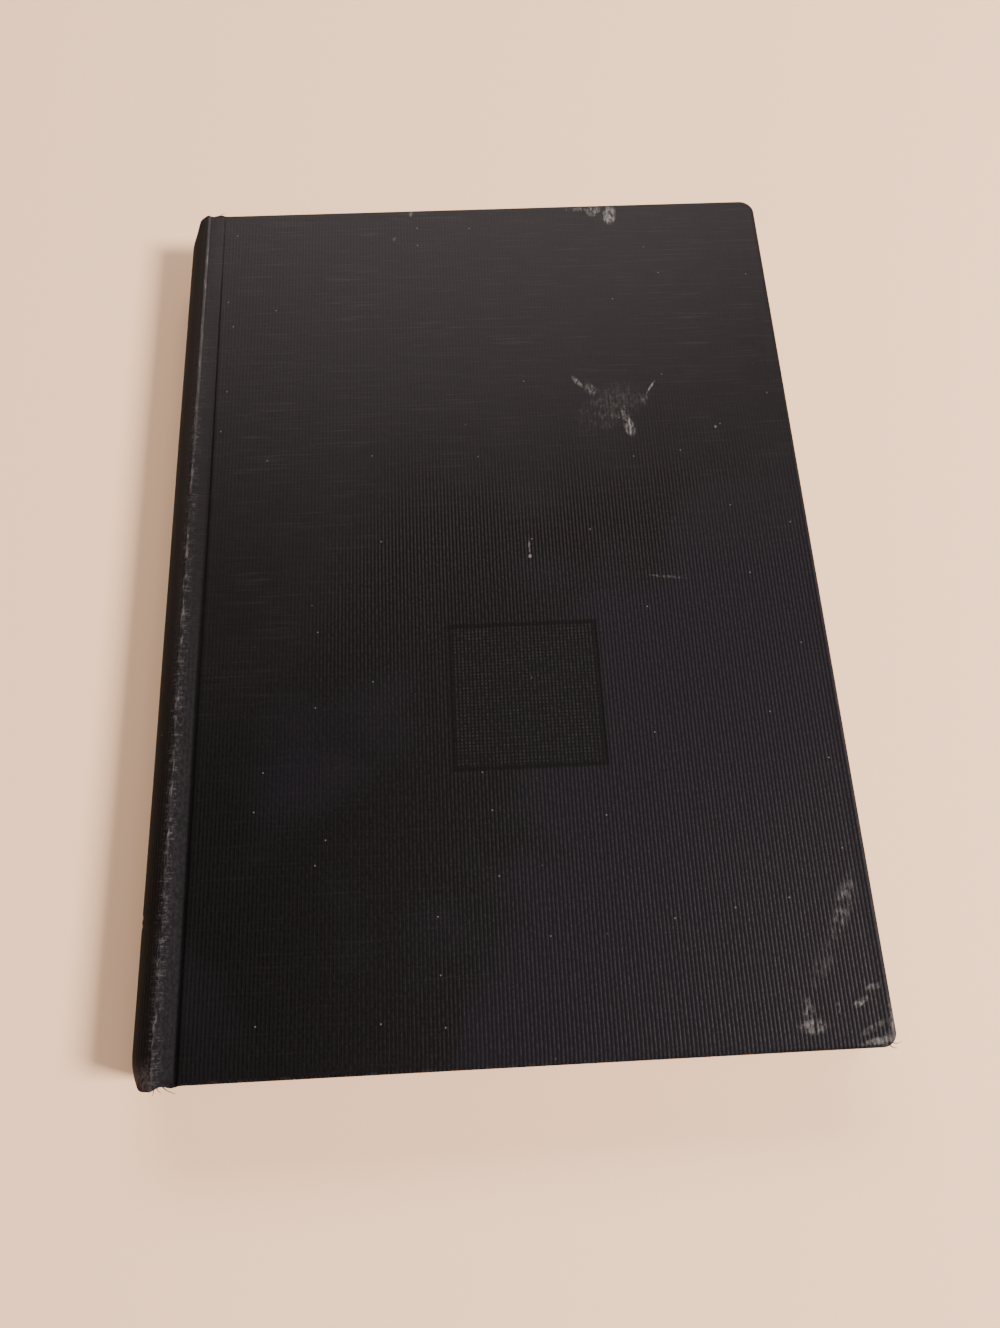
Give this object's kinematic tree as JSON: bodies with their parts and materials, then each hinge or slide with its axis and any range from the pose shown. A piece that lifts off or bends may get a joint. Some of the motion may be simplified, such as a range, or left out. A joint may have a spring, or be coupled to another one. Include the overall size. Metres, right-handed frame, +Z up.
{
  "type": "hardback book",
  "caption": "Closed hardback book in dark ribbed cloth, with a rounded spine, shallow grooves, a solid page block and two covers that open.",
  "frame": {"origin": "middle of the book's footprint, on the surface that it lies on", "axes": "+X from the spine towards the fore-edge, +Y from the tail towards the head, +Z up, out of the front cover"},
  "size_m": [0.1468, 0.205, 0.018],
  "materials": {
    "book_cloth": "black ribbed book cloth, slightly worn, low sheen",
    "grey_board": "dense grey-brown board",
    "page_paper": "aged book paper, trimmed edges",
    "endpaper": "smooth aged paper",
    "lining_paper": "brown paper with dry glue",
    "gauze": "open starched cotton gauze",
    "spine_card": "thin card",
    "band_thread": "cotton thread over a core"
  },
  "bodies": {
    "block": {"text_block": "page_paper", "spine_mull": "gauze", "spine_lining": "lining_paper", "head_band": "band_thread", "tail_band": "band_thread", "spine_strip": "spine_card", "spine_cloth": "book_cloth", "front_flyleaf": "endpaper", "back_flyleaf": "endpaper"},
    "front_cover": {"front_board": "grey_board", "front_cover_cloth": "book_cloth", "front_mull_flap": "gauze", "front_pastedown": "endpaper"},
    "back_cover": {"back_board": "grey_board", "back_cover_cloth": "book_cloth", "back_mull_flap": "gauze", "back_pastedown": "endpaper"}
  },
  "joints": [
    {"name": "front_hinge", "type": "hinge", "parent": "block", "child": "front_cover", "pos_m": [-0.06735, 0, 0.0163], "axis": [0, -1, 0], "range_deg": [0, 180]},
    {"name": "back_hinge", "type": "hinge", "parent": "block", "child": "back_cover", "pos_m": [-0.06735, 0, 0.0017], "axis": [0, 1, 0], "range_deg": [0, 180]}
  ]
}
